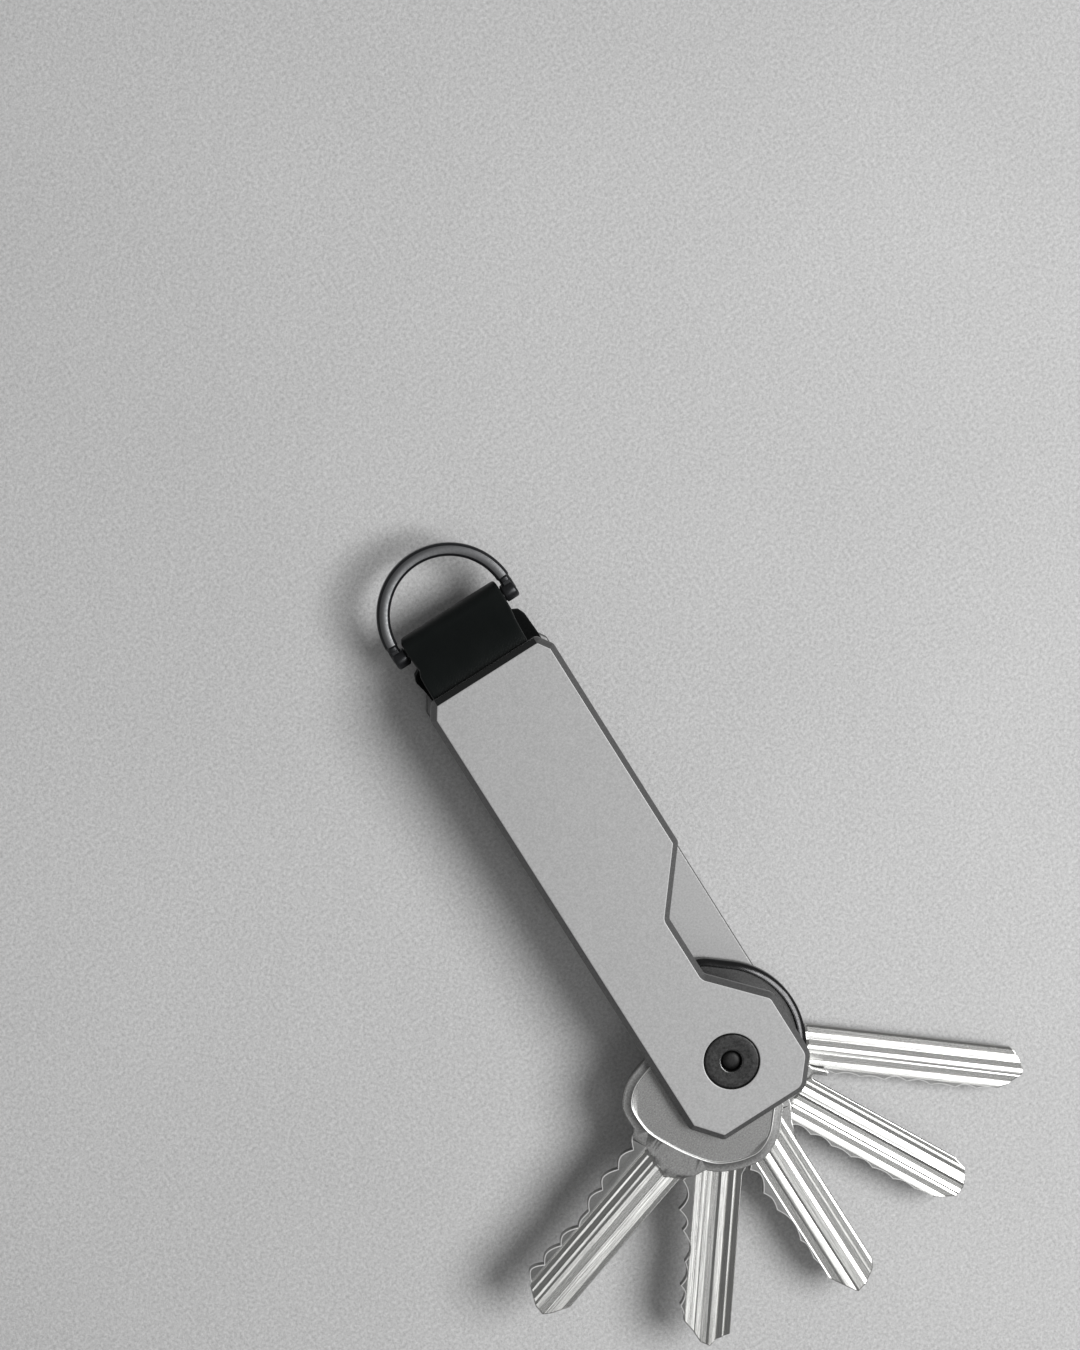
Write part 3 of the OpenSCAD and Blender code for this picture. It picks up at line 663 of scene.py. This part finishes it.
EDGE_R = 0.12
EDGE_RINGS = (0.3, 1, 1.4)
KEY_HOLE_R = 2.45
BOSS_R, BOSS_RUN = 4.6, 0.2  # the flat land round the hole
RAMP_RUN = 0.45  # the cutter's run-out where the grooves start
BLADE_OVERLAP = 1  # how far the blade's outline reaches back into the neck
HOLLOW = 1.8  # how sharply a cut's hollow turns up to its peak
BOW_MAT, BLADE_MAT, CUT_MAT, STEP_MAT, RIM_SHADE_MAT, BOW_SHADE_MAT, CUT_EDGE_HIGHLIGHT_MAT = range(7)
KEY_FINISHES = [KEY_BOW, KEY_BLADE, KEY_CUT, KEY_STEP, KEY_RIM_PAINTED_SHADE, KEY_PAINTED_SHADE, KEY_CUT_EDGE_HIGHLIGHT]


def rim_of(k):
    return k.get("rim_w", RIM_W), k.get("rim_d", RIM_D), k.get("dome", 0)


def bow_line(k, d):
    """A key's bow outline moved inwards by d."""
    if "rim" in k:
        return shifted(spline(k["rim"]), d - k["rim_w"])
    back, front, low, high = k["bow"]
    radii = k["corner"] if isinstance(k["corner"], tuple) else (k["corner"],) * 4
    return rounded(*inset([(front, low), (front, high), (back, high), (back, low)], radii, d), BOW_STEPS)


def tooth_curve(points, steps=6):
    """Hollow valleys between sharp peaks: the points are peaks and valleys in turn."""
    out = []
    for k in range(len(points) - 1):
        (x0, y0), (x1, y1) = points[k], points[k + 1]
        falling = k % 2 == 0
        for s in range(steps):
            t = s / steps
            share = 1 - (1 - t) ** HOLLOW if falling else t ** HOLLOW
            out.append((x0 + (x1 - x0) * t, y0 + (y1 - y0) * share))
    return out + [points[-1]]


def blade_line(k):
    """A blade's outline: the cuts, the tip, and back into the neck."""
    (low_x, low_y), (high_x, high_y) = k["start"][0], k["start"][-1]
    return [(low_x - BLADE_OVERLAP, low_y)] + tooth_curve(k["teeth"]) + k["tip"] + \
        [(high_x - BLADE_OVERLAP, high_y)]


def sides_of(loop):
    a = np.array(loop, float)
    return zip(a, np.roll(a, -1, 0))


def distance_to(points, loop):
    """Least distance from each point to a closed loop."""
    best = np.full(len(points), np.inf)
    for p, q in sides_of(loop):
        d = q - p
        t = np.clip(((points - p) @ d) / max(d @ d, 1e-12), 0, 1)
        best = np.minimum(best, np.linalg.norm(points - p - t[:, None] * d, axis=1))
    return best


def inside(points, loop):
    hit = np.zeros(len(points), bool)
    for p, q in sides_of(loop):
        crosses = (p[1] > points[:, 1]) != (q[1] > points[:, 1])
        with np.errstate(divide="ignore", invalid="ignore"):
            x = (q[0] - p[0]) * (points[:, 1] - p[1]) / (q[1] - p[1]) + p[0]
        hit ^= crosses & (points[:, 0] < x)
    return hit


def triangulate(closed, opened):
    """Constrained triangulation of closed loops and open lines: (points, triangles)."""
    verts, edges = [], []
    for n, line in enumerate(closed + opened):
        base, count = len(verts), len(line)
        verts += [Vector(p) for p in line]
        edges += [(base + k, base + (k + 1) % count) for k in range(count - (n >= len(closed)))]
    points, _, faces, *_ = delaunay_2d_cdt(verts, edges, [], 0, 1e-5)
    return np.array([tuple(p) for p in points]), np.array([f[:3] for f in faces])


def boundary_loops(faces):
    """Ordered loops of the edges that only one triangle uses."""
    used = {}
    for f in faces:
        for k in range(3):
            a, b = int(f[k]), int(f[(k + 1) % 3])
            if (b, a) in used:
                del used[(b, a)]
            else:
                used[(a, b)] = True
    nexts = dict(used.keys())
    loops = []
    while nexts:
        first = next(iter(nexts))
        loop, at = [], first
        while at in nexts:
            loop.append(at)
            at = nexts.pop(at)
        loops.append(loop)
    return loops


def shifted(loop, d):
    """A closed loop moved to its left by d, along each corner's mean normal."""
    out, n = [], len(loop)
    for k in range(n):
        a, b, c = (Vector(loop[(k + step) % n]) for step in (-1, 0, 1))
        e, f = (b - a).normalized(), (c - b).normalized()
        p, q = Vector((-e.y, e.x)), Vector((-f.y, f.x))
        m = b + (p + q) * d / max(1 + p.dot(q), 0.5)
        out.append((m.x, m.y))
    return out


def smooth(t):
    t = np.clip(t, 0, 1)
    return t * t * (3 - 2 * t)


def relief_lines(k):
    """Closed and open lines where a key's relief bends. The mesh is cut along them."""
    rim_w, _, dome = rim_of(k)
    closed = [bow_line(k, rim_w + RIM_RUN * share) for share in RIM_RINGS]
    closed += [bow_line(k, rim_w - BEAD_W * share) for share in BEAD_RINGS]
    if dome:
        closed += [bow_line(k, rim_w * share) for share in DOME_RINGS]
    closed += [circle(BOSS_R, 60), circle(BOSS_R + BOSS_RUN, 60)]
    first, far = min(x for x, _ in k["start"]), k["tip"][2][0] + 1
    heights = [y for y, _ in k["bands"][1:-1]] + [k["start"][0][1] + y for y, _ in BACK_BANDS[1:-1]]
    opened = [[(first, y), (far, y)] for y in heights]
    opened += [[(x + run, y) for x, y in k["start"]] for run in (0, RAMP_RUN / 2, RAMP_RUN)]
    return closed, opened


def key_plan(k):
    """A key from above as (points, triangles, outline): bow, neck and blade, less the hole."""
    solids = [bow_line(k, 0), k["neck"], blade_line(k)]
    hole = circle(KEY_HOLE_R, 72)

    def kept(points, faces):
        centre = points[faces].mean(1)
        solid = np.any([inside(centre, loop) for loop in solids], 0)
        return faces[solid & ~inside(centre, hole)]

    points, faces = triangulate(solids + [hole], [])
    outline = [[tuple(points[v]) for v in loop] for loop in boundary_loops(kept(points, faces))]
    rings = [shifted(loop, EDGE_R * share) for loop in outline for share in EDGE_RINGS]
    closed, opened = relief_lines(k)
    points, faces = triangulate(outline + rings + closed, opened)
    used, faces = np.unique(kept(points, faces), return_inverse=True)
    return points[used], faces.reshape(-1, 3), outline


class Relief:
    """A key's front and rear heights, and how far each point is into its bow and from its edge."""

    def __init__(self, k, points, outline, thickness):
        rim_w, rim_d, dome = rim_of(k)
        bow = bow_line(k, 0)
        self.in_bow = np.where(inside(points, bow), distance_to(points, bow), 0)
        self.edge = np.min([distance_to(points, loop) for loop in outline], 0)
        from_post = np.linalg.norm(points, axis=1)
        self.recess = rim_d * smooth((self.in_bow - rim_w) / RIM_RUN)
        self.recess *= smooth((from_post - BOSS_R) / BOSS_RUN)
        sunk = dome * (1 - np.sqrt(1 - (1 - np.clip(self.in_bow / rim_w, 0, 1)) ** 2))
        along = smooth((points[:, 0] - blade_start(k, points)) / RAMP_RUN)
        grooves = along * np.interp(points[:, 1], *zip(*k["bands"]))
        rear_grooves = along * np.interp(points[:, 1] - k["start"][0][1], *zip(*BACK_BANDS))
        inward = np.clip(EDGE_R - self.edge, 0, EDGE_R)
        drop = EDGE_R - np.sqrt(np.maximum(EDGE_R ** 2 - inward ** 2, 0))
        bead = np.clip(1 - ((self.in_bow - rim_w) * 2 / BEAD_W + 1) ** 2, 0, 1) * (not dome)
        self.bead = bead * (1 - along) * (from_post > BOSS_R)
        self.front = thickness - self.recess + grooves - drop - sunk + BEAD_H * self.bead
        self.rear = self.recess + rear_grooves + drop


def blade_start(k, points):
    return np.interp(points[:, 1], [y for _, y in k["start"]], [x for x, _ in k["start"]])


def key_finish(k, points, faces, relief):
    rim_w, _, dome = rim_of(k)
    centre = points[faces].mean(1)
    edge = relief.edge[faces].mean(1)
    low, high = k["start"][0][1], k["start"][-1][1]
    on_blade = (centre[:, 0] > blade_start(k, centre)) & (centre[:, 1] < high + EDGE_R)
    on_cuts = on_blade & (centre[:, 1] < low)
    recess = relief.recess[faces]
    on_step = (recess.max(1) - recess.min(1) > 0.02) | (relief.bead[faces].mean(1) > 0.05)
    on_step |= (edge < EDGE_R * 0.75) & ~on_blade
    finish = np.full(len(faces), BOW_MAT)
    finish[on_blade] = BLADE_MAT
    finish[on_cuts] = CUT_MAT
    finish[on_step] = STEP_MAT
    # painted highlight: a thin white line along the cut edges
    finish[on_cuts & (edge < EDGE_R * 1.3)] = CUT_EDGE_HIGHLIGHT_MAT
    if dome:
        in_bow = relief.in_bow[faces].mean(1)
        # painted shade: the rear key's bow under the plates is coloured dark
        finish[(in_bow > 0) & ~on_blade] = BOW_SHADE_MAT
        # painted shade: the rim band is coloured darker still
        finish[(in_bow > 0) & (in_bow < rim_w + RIM_RUN) & ~on_blade] = RIM_SHADE_MAT
    return finish


def key_look(name, k):
    """One key, lifted from its plan to its reliefs and turned to its place in the fan."""
    low, high = box_mm(name)
    points, faces, outline = key_plan(k)
    relief = Relief(k, points, outline, high.z - low.z)
    bm = bmesh.new()
    front = [bm.verts.new((x, y, z)) for (x, y), z in zip(points, relief.front)]
    rear = [bm.verts.new((x, y, z)) for (x, y), z in zip(points, relief.rear)]
    for triangle, material in zip(faces, key_finish(k, points, faces, relief)):
        bm.faces.new([front[v] for v in triangle]).material_index = int(material)
        bm.faces.new([rear[v] for v in reversed(triangle)]).material_index = int(material)
    first = min(x for x, _ in k["start"])
    for loop in boundary_loops(faces):
        for a, b in zip(loop, loop[1:] + loop[:1]):
            wall = bm.faces.new((rear[a], rear[b], front[b], front[a]))
            wall.material_index = CUT_MAT if points[a][0] > first else BOW_MAT
    own = bm.verts.layers.float_vector.new(OWN_PLACE)
    for v in bm.verts:
        v[own] = v.co * MM
    bm.transform(Matrix.Translation((PIVOT.x, PIVOT.y, low.z)) @
                 Matrix.Rotation(math.radians(k["fan"] - 90), 4, "Z"))
    piece(bm, name, name + "_body", KEY_FINISHES, 30)


for key_name, key_numbers in KEYS.items():
    key_look(key_name, key_numbers)


# ---- swept parts
def sweep(bm, path, sections):
    """Joins sections of (side, up, material) points along a path of (place, side, up) frames."""
    rings = [add_loop(bm, [place + side * a + up * b for a, b, _ in section])
             for (place, side, up), section in zip(path, sections)]
    for before, after, section in zip(rings, rings[1:], sections):
        for j, (_, _, material) in enumerate(section):
            n = (j + 1) % len(section)
            bm.faces.new((before[j], before[n], after[n], after[j])).material_index = material
    bm.faces.new(rings[0])
    bm.faces.new(rings[-1])


STRAP_T = 1.5
FOLD_R = 1.15  # the fold's inner radius, just clear of the pin
FOLD_TURN = math.radians(68)  # how far round the pin the fold stays round, to each side
FOLD_STEPS = 10
STRAP_EDGE_R = 0.42
STRAP_EDGE_STEPS = 5
STRAP_CROWN = 0.05  # the faces swell this much in their middle
CROWN_STEPS = 12
STRAP_CLEAR = 0.05  # gap between the leather and a plate
LEG_END = 0.4  # the flat part of a leg stops this far inside the plates
LEG_STEPS = 5
EASE_STEPS = 32
EASE_PULL = 7.5
# The leather's two edges along Y on each leg. It narrows where the eyes pass.
STRAP_STATIONS = (40, 41.6, 43.2, 44.3, 44.7, 45.05, 46.2, 49.4, 51.2)
FRONT_EDGES = ((-8.9, -8.87, -8.85, -8.75, -8.6, -8.34, -8.5, -8.6, -7.3),
               (7.9, 8, 8.1, 8.2, 8.28, 8.34, 8.5, 8.6, 8.4))
REAR_EDGES = ((-9.3, -9.5, -9.85, -9.4, -8.6, -8.34, -8.5, -8.6, -7.3),
              (10.2, 10.1, 10, 9.5, 8.6, 8.34, 8.5, 8.6, 8.4))


def strap_line():
    """The leather's middle line as (y, height over the pin), front leg first."""
    mid_r = FOLD_R + STRAP_T / 2
    leg_z = FRONT_LOW.z - STRAP_CLEAR - STRAP_T / 2 - PIN.z
    leg_end = HALF_L - LEG_END
    points = [(STRAP_LOW.y + (leg_end - STRAP_LOW.y) * s / LEG_STEPS, leg_z) for s in range(LEG_STEPS)]
    start, start_pull = Vector((leg_end, leg_z)), Vector((EASE_PULL, 0))
    end = Vector((PIN.y + mid_r * math.cos(FOLD_TURN), mid_r * math.sin(FOLD_TURN)))
    end_pull = Vector((math.sin(FOLD_TURN), -math.cos(FOLD_TURN))) * EASE_PULL
    for s in range(EASE_STEPS):
        u = s / EASE_STEPS
        point = start * (2 * u ** 3 - 3 * u ** 2 + 1) + start_pull * (u ** 3 - 2 * u ** 2 + u) + \
            end * (-2 * u ** 3 + 3 * u ** 2) + end_pull * (u ** 3 - u ** 2)
        points.append((point.x, point.y))
    for s in range(FOLD_STEPS + 1):
        a = FOLD_TURN * (1 - s / FOLD_STEPS)
        points.append((PIN.y + mid_r * math.cos(a), mid_r * math.sin(a)))
    return points + [(y, -z) for y, z in reversed(points[:-1])]


def strap_section(left, right):
    """A strip's section with round edges and swelling faces. Its lower half is the inside."""
    half_t, r = STRAP_T / 2, STRAP_EDGE_R
    centres = [(right - r, half_t - r), (left + r, half_t - r), (left + r, r - half_t),
               (right - r, r - half_t)]
    corners = []
    for n, (cx, cz) in enumerate(centres):
        turns = [math.pi / 2 * (n + s / STRAP_EDGE_STEPS) for s in range(STRAP_EDGE_STEPS + 1)]
        corners.append([(cx + r * math.cos(a), cz + r * math.sin(a)) for a in turns])
    section = []
    for n, corner in enumerate(corners):
        material = int(n >= 2)
        section += [(a, b, material) for a, b in corner]
        if n % 2 == 0:
            (a, b), (a2, b2) = corner[-1], corners[n + 1][0]
            for s in range(1, CROWN_STEPS):
                w = s / CROWN_STEPS
                crown = math.copysign(STRAP_CROWN * math.sin(math.pi * w), b)
                section.append((a + (a2 - a) * w, b + (b2 - b) * w + crown, material))
    return section


def strap_look():
    """Leather folded round the pin: flat between the plates and easing down to the fold."""
    line = strap_line()
    last = len(line) - 1
    frames, sections = [], []
    for k, (y, z) in enumerate(line):
        (back_y, back_z), (ahead_y, ahead_z) = line[max(k - 1, 0)], line[min(k + 1, last)]
        direction = Vector((0, ahead_y - back_y, ahead_z - back_z)).normalized()
        side = Vector((1, 0, 0))
        frames.append((Vector((0, y, PIN.z + z)), side, side.cross(direction)))
        edges = FRONT_EDGES if k <= last / 2 else REAR_EDGES
        sections.append(strap_section(*(float(np.interp(y, STRAP_STATIONS, edge)) for edge in edges)))
    bm = bmesh.new()
    sweep(bm, frames, sections)
    piece(bm, "strap", "case", [LEATHER, LEATHER_INSIDE], 60)


strap_look()

BAR_R = 10.05  # of the bar's middle line
BAR_RISE = 1.8  # of its half round's centre over the pin
BAR_HALF_W, BAR_HALF_T = 1.02, 1.2
BAR_EDGE = 0.42
GROOVE_W, GROOVE_T = 0.86, 0.7  # shares of the bar's width and thickness left in the groove over each eye
GROOVE_END, GROOVE_RUN = 0.45, 0.12
FOOT = [(0, 0.9, 0.74), (1.62, 0.9, 0.74), (BAR_RISE - 0.13, GROOVE_W, GROOVE_T),
        (BAR_RISE, GROOVE_W, GROOVE_T)]     # (rise over the pin, share of the width, of the thickness)
BAR_STEPS = 96
EYE_R, EYE_BORE_R = 1.42, 1.14
EYE_IN, EYE_OUT = 8.7, 10.85
LIT_FACE, SHADED_SIDE = range(2)  # the shackle's two finishes: lit and shaded copies of one gunmetal, the shaded one painting shade on the sides, the grooves, the eyes and the pin


def bar_section(scale_w, scale_t):
    w, t, e, s = BAR_HALF_W * scale_w, BAR_HALF_T * scale_t, BAR_EDGE, 0.1
    corner = [(w, t - e), (w - s * 0.4, t - e + s), (w - e + s * 0.6, t - 0.03), (w - e, t)]
    across = [(-x, z) for x, z in reversed(corner)]
    upper = corner + across
    lower = [(-x, -z) for x, z in upper]
    marks = [SHADED_SIDE] * 3 + [LIT_FACE] + [SHADED_SIDE] * 4
    return [(x, z, mark) for (x, z), mark in zip(upper + lower, marks * 2)]


def shackle_bar(bm):
    """A half round bar on two straight feet, with a groove over each eye."""
    centre = Vector((0, PIN.y + BAR_RISE, PIN.z))
    up = Vector((0, 0, 1))
    path, sections = [], []

    def add_foot(side, rows):
        for rise, scale_w, scale_t in rows:
            path.append((centre + Vector((side * BAR_R, rise - BAR_RISE, 0)), Vector((side, 0, 0)), up))
            sections.append(bar_section(scale_w, scale_t))

    add_foot(1, FOOT)
    for s in range(BAR_STEPS + 1):
        a = math.pi * s / BAR_STEPS
        out = Vector((math.cos(a), math.sin(a), 0))
        full = float(smooth((min(a, math.pi - a) * BAR_R - GROOVE_END) / GROOVE_RUN))
        path.append((centre + out * BAR_R, out, up))
        sections.append(bar_section(GROOVE_W + (1 - GROOVE_W) * full, GROOVE_T + (1 - GROOVE_T) * full))
    add_foot(-1, reversed(FOOT))
    sweep(bm, path, sections)
    # painted shade: the feet and the grooves over the eyes take the shaded copy
    for face in bm.faces:
        if face.calc_center_median().y < centre.y + GROOVE_END + 0.05:
            face.material_index = SHADED_SIDE


def shackle_look():
    bm = bmesh.new()
    shackle_bar(bm)
    profile = [(EYE_BORE_R, EYE_IN), (EYE_R - 0.25, EYE_IN), (EYE_R - 0.08, EYE_IN + 0.08),
               (EYE_R, EYE_IN + 0.26), (EYE_R, EYE_OUT - 0.36), (EYE_R - 0.08, EYE_OUT - 0.14),
               (EYE_R - 0.3, EYE_OUT), (EYE_BORE_R, EYE_OUT)]
    for side in (1, -1):
        rings = [add_loop(bm, [(side * x, PIN.y + a, PIN.z + b) for a, b in circle(r, 64)])
                 for r, x in profile]
        for ring, after in zip(rings, rings[1:] + rings[:1]):
            bridge(bm, ring, after, SHADED_SIDE)
    piece(bm, "shackle_bow", "shackle", [GUNMETAL_LIT_FACE, GUNMETAL_SHADED], 40)


def shackle_pin():
    pin_r, socket = 1.1, (0.9, 0.7)
    end = [(0.15, 0), (0.04, 0.06), (0, 0.2)]
    profile = [(pin_r - inwards, PIN_LOW.x + depth, 0) for inwards, depth in end]
    profile += [(pin_r - inwards, PIN_HIGH.x - depth, 0) for inwards, depth in reversed(end)]
    turned("shackle_pin", profile, [(0, PIN.y, PIN.z)], [GUNMETAL_SHADED], "shackle", "X",
           socket, count=64)


shackle_look()
shackle_pin()


# ---- floor
def floor_material():
    n = Nodes("floor")
    fine = n.noise(1.9, detail=6, rough=0.75)
    medium = n.noise(0.25, detail=4)
    wide = n.noise(0.012)
    colour = n.mix(n.ramp(fine, [(NOISE_LOW, 0.45), (NOISE_HIGH, 0.79)]),
                   n.ramp(wide, [(0.35, 0.94), (0.65, 1.0)]))
    return n.done(colour, n.span(medium, 0.75, 0.9), n.bump(fine, 0.12, n.bump(medium, 0.15)))


FLOOR_HALF = 1.6
FLOOR_CELLS = 12
FLOOR_CLEAR = 0.00003  # keeps the floor just under the rear plate's face


def lay_floor():
    mesh = bpy.data.meshes.new("floor")
    bm = bmesh.new()
    bmesh.ops.create_grid(bm, x_segments=FLOOR_CELLS, y_segments=FLOOR_CELLS, size=FLOOR_HALF)
    bm.to_mesh(mesh)
    bm.free()
    mesh.materials.append(floor_material())
    floor = bpy.data.objects.new("floor", mesh)
    floor.location.z = REAR_LOW.z * MM - FLOOR_CLEAR
    add_to_scene(floor)


lay_floor()

# ---- camera
CAMERA_AT = Vector((-2.987, 101.210, 561.683)) * MM
CAMERA_RIGHT = Vector((0.84464, -0.52949, 0.07889))
CAMERA_UP = Vector((0.53505, 0.83982, -0.09181))
LENS_MM = 97.12


def place_camera():
    """A long lens almost straight above."""
    data = bpy.data.cameras.new("camera")
    data.lens = LENS_MM
    data.clip_start = 0.01
    data.clip_end = 10
    backwards = CAMERA_RIGHT.cross(CAMERA_UP).normalized()
    right = CAMERA_UP.cross(backwards).normalized()
    turn = Matrix((right, backwards.cross(right), backwards)).transposed().to_4x4()
    camera = bpy.data.objects.new("camera", data)
    camera.matrix_world = Matrix.Translation(CAMERA_AT) @ turn
    add_to_scene(camera)
    bpy.context.scene.camera = camera


place_camera()

# ---- light
IMAGE_RIGHT, IMAGE_UP = Vector((0.845, -0.534, 0)), Vector((0.534, 0.845, 0))
AIM = Vector((0.004, -0.01, 0.008))
WORLD_STRENGTH = 0.2


def soft_light(name, side, above, height, distance, size, watts):
    """A round soft box. side, above and height say its direction in the picture."""
    direction = (IMAGE_RIGHT * side + IMAGE_UP * above + Vector((0, 0, height))).normalized()
    data = bpy.data.lights.new(name, "AREA")
    data.shape = "DISK"
    data.size = size
    data.energy = watts
    lamp = bpy.data.objects.new(name, data)
    lamp.location = AIM + direction * distance
    lamp.rotation_mode = "QUATERNION"
    lamp.rotation_quaternion = direction.to_track_quat("Z", "Y")
    add_to_scene(lamp)


def soft_world():
    world = bpy.data.worlds.new("studio")
    world.use_nodes = True
    background = world.node_tree.nodes["Background"]
    background.inputs["Color"].default_value = (1, 1, 1, 1)
    background.inputs["Strength"].default_value = WORLD_STRENGTH
    bpy.context.scene.world = world


soft_light("key_light", side=0.53, above=0.08, height=0.85, distance=0.7, size=0.42, watts=4.25)
soft_light("top_light", side=0.18, above=-0.29, height=1.0, distance=0.9, size=0.3, watts=0.4)
soft_world()
bpy.context.scene.view_settings.view_transform = "Standard"
